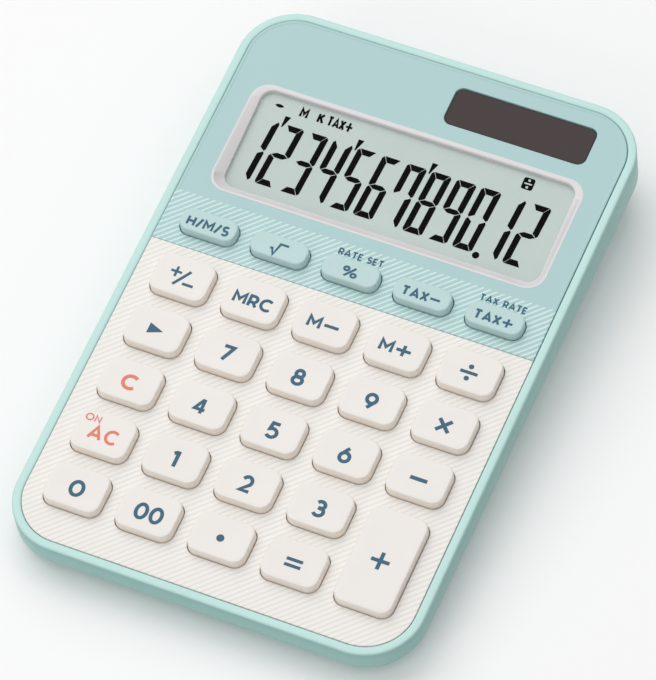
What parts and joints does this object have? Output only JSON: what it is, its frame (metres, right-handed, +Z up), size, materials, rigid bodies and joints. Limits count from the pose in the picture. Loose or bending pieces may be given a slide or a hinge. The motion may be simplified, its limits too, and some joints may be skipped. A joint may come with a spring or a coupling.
{
  "type": "desk calculator",
  "caption": "Small wedge-shaped desk calculator with a mint case, a cream keypad of sprung rounded keys, a slanted-digit LCD and a solar cell, standing on rubber feet.",
  "frame": {"origin": "centre of the footprint, on the surface that the rubber feet stand on", "axes": "+X to the right across the keypad, +Y from the keypad towards the display, +Z up"},
  "size_m": [0.1046, 0.1598, 0.022],
  "materials": {
    "case_plastic": "fine matt moulded, pale mint",
    "mint_panel": "satin printed plate, mint with pale diagonal lines",
    "cream_panel": "satin plate, cream with grey diagonal lines",
    "mint_key": "fine matt moulded",
    "cream_key": "fine matt moulded, printed legends",
    "bezel_plastic": "pale pinkish grey, smooth",
    "window_plastic": "clear, polished",
    "lcd": "grey-green reflective, black segments",
    "white_plastic": "moulded",
    "connector_film": "amber film",
    "solar_window": "smoked brown, polished",
    "solar_cell": "dark brown coated glass",
    "silicone": "translucent grey",
    "board": "brown paper laminate",
    "epoxy": "black blob",
    "cell_steel": "bright rolled steel",
    "contact_steel": "nickel plated",
    "screw_steel": "zinc plated",
    "foot_rubber": "matt",
    "red_wire": "insulation",
    "black_wire": "insulation"
  },
  "bodies": {
    "case": {"upper_case": "case_plastic", "lower_case": "case_plastic", "battery_cover": "case_plastic", "display_panel": "mint_panel", "keypad_panel": "cream_panel", "lcd_bezel": "bezel_plastic", "lcd_window": "window_plastic", "lcd_glass": "lcd", "lcd_holder": "white_plastic", "heat_seal_connector": "connector_film", "solar_window": "solar_window", "solar_cell": "solar_cell", "rubber_keypad": "silicone", "circuit_board": "board", "chip_cover": "epoxy", "button_cell": "cell_steel", "battery_contact_negative": "contact_steel", "battery_contact_positive": "contact_steel", "battery_cover_screw": "screw_steel", "solar_lead_positive": "red_wire", "solar_lead_negative": "black_wire", "battery_lead_positive": "red_wire", "battery_lead_negative": "black_wire", "case_screw_front_left": "screw_steel", "rubber_foot_front_left": "foot_rubber", "case_screw_front_right": "screw_steel", "rubber_foot_front_right": "foot_rubber", "case_screw_rear_left": "screw_steel", "rubber_foot_rear_left": "foot_rubber", "case_screw_rear_right": "screw_steel", "rubber_foot_rear_right": "foot_rubber"},
    "key_time": {"key_time": "mint_key"},
    "key_root": {"key_root": "mint_key"},
    "key_percent": {"key_percent": "mint_key"},
    "key_tax_minus": {"key_tax_minus": "mint_key"},
    "key_tax_plus": {"key_tax_plus": "mint_key"},
    "key_sign": {"key_sign": "cream_key"},
    "key_memory_recall": {"key_memory_recall": "cream_key"},
    "key_memory_minus": {"key_memory_minus": "cream_key"},
    "key_memory_plus": {"key_memory_plus": "cream_key"},
    "key_divide": {"key_divide": "cream_key"},
    "key_backspace": {"key_backspace": "cream_key"},
    "key_7": {"key_7": "cream_key"},
    "key_8": {"key_8": "cream_key"},
    "key_9": {"key_9": "cream_key"},
    "key_multiply": {"key_multiply": "cream_key"},
    "key_clear": {"key_clear": "cream_key"},
    "key_4": {"key_4": "cream_key"},
    "key_5": {"key_5": "cream_key"},
    "key_6": {"key_6": "cream_key"},
    "key_minus": {"key_minus": "cream_key"},
    "key_all_clear": {"key_all_clear": "cream_key"},
    "key_1": {"key_1": "cream_key"},
    "key_2": {"key_2": "cream_key"},
    "key_3": {"key_3": "cream_key"},
    "key_plus": {"key_plus": "cream_key"},
    "key_0": {"key_0": "cream_key"},
    "key_00": {"key_00": "cream_key"},
    "key_point": {"key_point": "cream_key"},
    "key_equals": {"key_equals": "cream_key"}
  },
  "joints": [
    {"name": "key_time_press", "type": "slide", "parent": "case", "child": "key_time", "axis": [0, -0.075, 0.9972], "range_m": [-0.0013, 0], "stiffness_N_per_m": 400, "springref_m": 0.0005, "deforming": ["rubber_keypad"]},
    {"name": "key_root_press", "type": "slide", "parent": "case", "child": "key_root", "axis": [0, -0.075, 0.9972], "range_m": [-0.0013, 0], "stiffness_N_per_m": 400, "springref_m": 0.0005, "deforming": ["rubber_keypad"]},
    {"name": "key_percent_press", "type": "slide", "parent": "case", "child": "key_percent", "axis": [0, -0.075, 0.9972], "range_m": [-0.0013, 0], "stiffness_N_per_m": 400, "springref_m": 0.0005, "deforming": ["rubber_keypad"]},
    {"name": "key_tax_minus_press", "type": "slide", "parent": "case", "child": "key_tax_minus", "axis": [0, -0.075, 0.9972], "range_m": [-0.0013, 0], "stiffness_N_per_m": 400, "springref_m": 0.0005, "deforming": ["rubber_keypad"]},
    {"name": "key_tax_plus_press", "type": "slide", "parent": "case", "child": "key_tax_plus", "axis": [0, -0.075, 0.9972], "range_m": [-0.0013, 0], "stiffness_N_per_m": 400, "springref_m": 0.0005, "deforming": ["rubber_keypad"]},
    {"name": "key_sign_press", "type": "slide", "parent": "case", "child": "key_sign", "axis": [0, -0.075, 0.9972], "range_m": [-0.0013, 0], "stiffness_N_per_m": 400, "springref_m": 0.0005, "deforming": ["rubber_keypad"]},
    {"name": "key_memory_recall_press", "type": "slide", "parent": "case", "child": "key_memory_recall", "axis": [0, -0.075, 0.9972], "range_m": [-0.0013, 0], "stiffness_N_per_m": 400, "springref_m": 0.0005, "deforming": ["rubber_keypad"]},
    {"name": "key_memory_minus_press", "type": "slide", "parent": "case", "child": "key_memory_minus", "axis": [0, -0.075, 0.9972], "range_m": [-0.0013, 0], "stiffness_N_per_m": 400, "springref_m": 0.0005, "deforming": ["rubber_keypad"]},
    {"name": "key_memory_plus_press", "type": "slide", "parent": "case", "child": "key_memory_plus", "axis": [0, -0.075, 0.9972], "range_m": [-0.0013, 0], "stiffness_N_per_m": 400, "springref_m": 0.0005, "deforming": ["rubber_keypad"]},
    {"name": "key_divide_press", "type": "slide", "parent": "case", "child": "key_divide", "axis": [0, -0.075, 0.9972], "range_m": [-0.0013, 0], "stiffness_N_per_m": 400, "springref_m": 0.0005, "deforming": ["rubber_keypad"]},
    {"name": "key_backspace_press", "type": "slide", "parent": "case", "child": "key_backspace", "axis": [0, -0.075, 0.9972], "range_m": [-0.0013, 0], "stiffness_N_per_m": 400, "springref_m": 0.0005, "deforming": ["rubber_keypad"]},
    {"name": "key_7_press", "type": "slide", "parent": "case", "child": "key_7", "axis": [0, -0.075, 0.9972], "range_m": [-0.0013, 0], "stiffness_N_per_m": 400, "springref_m": 0.0005, "deforming": ["rubber_keypad"]},
    {"name": "key_8_press", "type": "slide", "parent": "case", "child": "key_8", "axis": [0, -0.075, 0.9972], "range_m": [-0.0013, 0], "stiffness_N_per_m": 400, "springref_m": 0.0005, "deforming": ["rubber_keypad"]},
    {"name": "key_9_press", "type": "slide", "parent": "case", "child": "key_9", "axis": [0, -0.075, 0.9972], "range_m": [-0.0013, 0], "stiffness_N_per_m": 400, "springref_m": 0.0005, "deforming": ["rubber_keypad"]},
    {"name": "key_multiply_press", "type": "slide", "parent": "case", "child": "key_multiply", "axis": [0, -0.075, 0.9972], "range_m": [-0.0013, 0], "stiffness_N_per_m": 400, "springref_m": 0.0005, "deforming": ["rubber_keypad"]},
    {"name": "key_clear_press", "type": "slide", "parent": "case", "child": "key_clear", "axis": [0, -0.075, 0.9972], "range_m": [-0.0013, 0], "stiffness_N_per_m": 400, "springref_m": 0.0005, "deforming": ["rubber_keypad"]},
    {"name": "key_4_press", "type": "slide", "parent": "case", "child": "key_4", "axis": [0, -0.075, 0.9972], "range_m": [-0.0013, 0], "stiffness_N_per_m": 400, "springref_m": 0.0005, "deforming": ["rubber_keypad"]},
    {"name": "key_5_press", "type": "slide", "parent": "case", "child": "key_5", "axis": [0, -0.075, 0.9972], "range_m": [-0.0013, 0], "stiffness_N_per_m": 400, "springref_m": 0.0005, "deforming": ["rubber_keypad"]},
    {"name": "key_6_press", "type": "slide", "parent": "case", "child": "key_6", "axis": [0, -0.075, 0.9972], "range_m": [-0.0013, 0], "stiffness_N_per_m": 400, "springref_m": 0.0005, "deforming": ["rubber_keypad"]},
    {"name": "key_minus_press", "type": "slide", "parent": "case", "child": "key_minus", "axis": [0, -0.075, 0.9972], "range_m": [-0.0013, 0], "stiffness_N_per_m": 400, "springref_m": 0.0005, "deforming": ["rubber_keypad"]},
    {"name": "key_all_clear_press", "type": "slide", "parent": "case", "child": "key_all_clear", "axis": [0, -0.075, 0.9972], "range_m": [-0.0013, 0], "stiffness_N_per_m": 400, "springref_m": 0.0005, "deforming": ["rubber_keypad"]},
    {"name": "key_1_press", "type": "slide", "parent": "case", "child": "key_1", "axis": [0, -0.075, 0.9972], "range_m": [-0.0013, 0], "stiffness_N_per_m": 400, "springref_m": 0.0005, "deforming": ["rubber_keypad"]},
    {"name": "key_2_press", "type": "slide", "parent": "case", "child": "key_2", "axis": [0, -0.075, 0.9972], "range_m": [-0.0013, 0], "stiffness_N_per_m": 400, "springref_m": 0.0005, "deforming": ["rubber_keypad"]},
    {"name": "key_3_press", "type": "slide", "parent": "case", "child": "key_3", "axis": [0, -0.075, 0.9972], "range_m": [-0.0013, 0], "stiffness_N_per_m": 400, "springref_m": 0.0005, "deforming": ["rubber_keypad"]},
    {"name": "key_plus_press", "type": "slide", "parent": "case", "child": "key_plus", "axis": [0, -0.075, 0.9972], "range_m": [-0.0013, 0], "stiffness_N_per_m": 400, "springref_m": 0.0005, "deforming": ["rubber_keypad"]},
    {"name": "key_0_press", "type": "slide", "parent": "case", "child": "key_0", "axis": [0, -0.075, 0.9972], "range_m": [-0.0013, 0], "stiffness_N_per_m": 400, "springref_m": 0.0005, "deforming": ["rubber_keypad"]},
    {"name": "key_00_press", "type": "slide", "parent": "case", "child": "key_00", "axis": [0, -0.075, 0.9972], "range_m": [-0.0013, 0], "stiffness_N_per_m": 400, "springref_m": 0.0005, "deforming": ["rubber_keypad"]},
    {"name": "key_point_press", "type": "slide", "parent": "case", "child": "key_point", "axis": [0, -0.075, 0.9972], "range_m": [-0.0013, 0], "stiffness_N_per_m": 400, "springref_m": 0.0005, "deforming": ["rubber_keypad"]},
    {"name": "key_equals_press", "type": "slide", "parent": "case", "child": "key_equals", "axis": [0, -0.075, 0.9972], "range_m": [-0.0013, 0], "stiffness_N_per_m": 400, "springref_m": 0.0005, "deforming": ["rubber_keypad"]}
  ]
}
